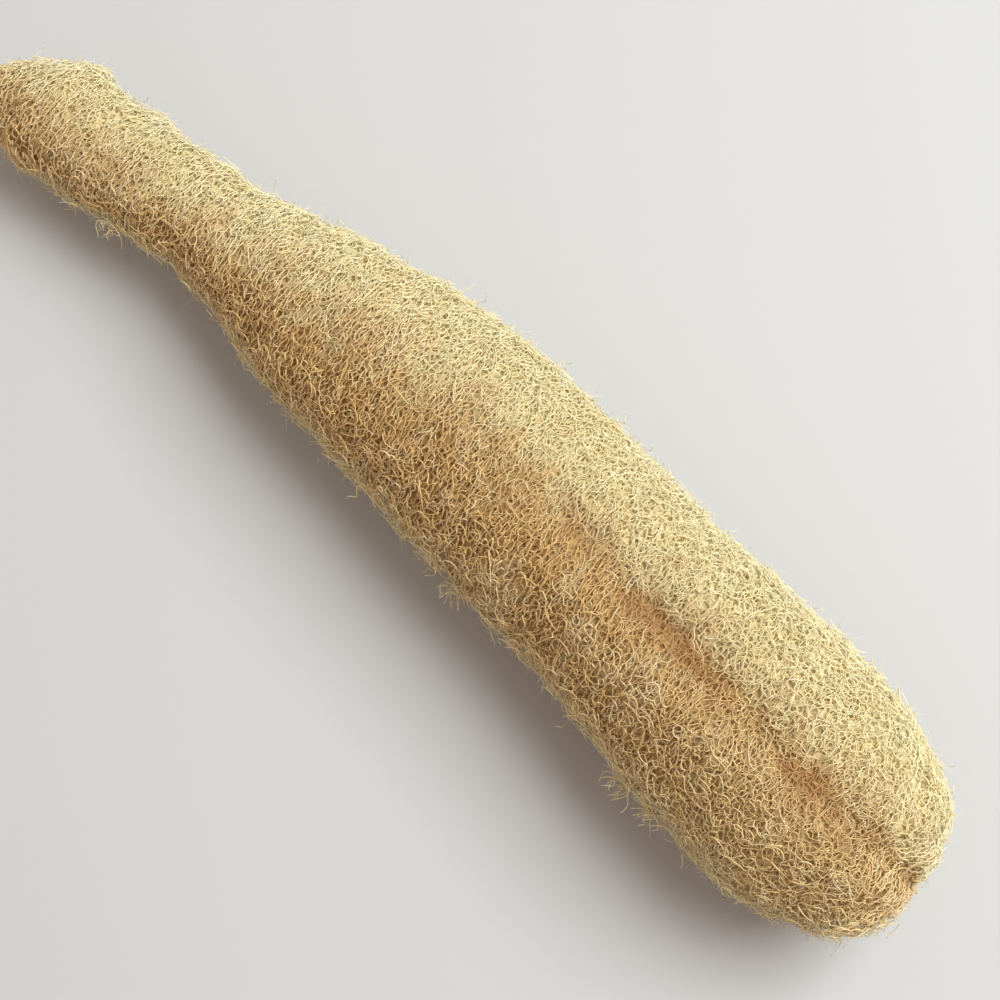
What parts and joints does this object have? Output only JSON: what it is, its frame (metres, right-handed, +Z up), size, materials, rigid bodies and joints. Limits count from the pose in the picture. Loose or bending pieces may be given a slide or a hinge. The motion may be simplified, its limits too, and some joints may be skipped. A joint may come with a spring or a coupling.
{
  "type": "natural loofah sponge",
  "caption": "Whole dried loofah: a club-shaped body of raised, netted plant fibre with a slim stem end, a fat rounded blossom end, long seam furrows and a flattened belly.",
  "frame": {"origin": "centre of the bounding box's bottom face, on the flat of the belly", "axes": "+X from the stem end to the blossom end, +Z up from the surface it lies on, +Y sideways"},
  "size_m": [0.4028, 0.0902, 0.0807],
  "materials": {
    "fibre": "dry matte plant fibre, pale straw with browner hollows and a few orange-brown stains"
  },
  "bodies": {
    "root": {"loofah": "fibre"}
  },
  "joints": []
}
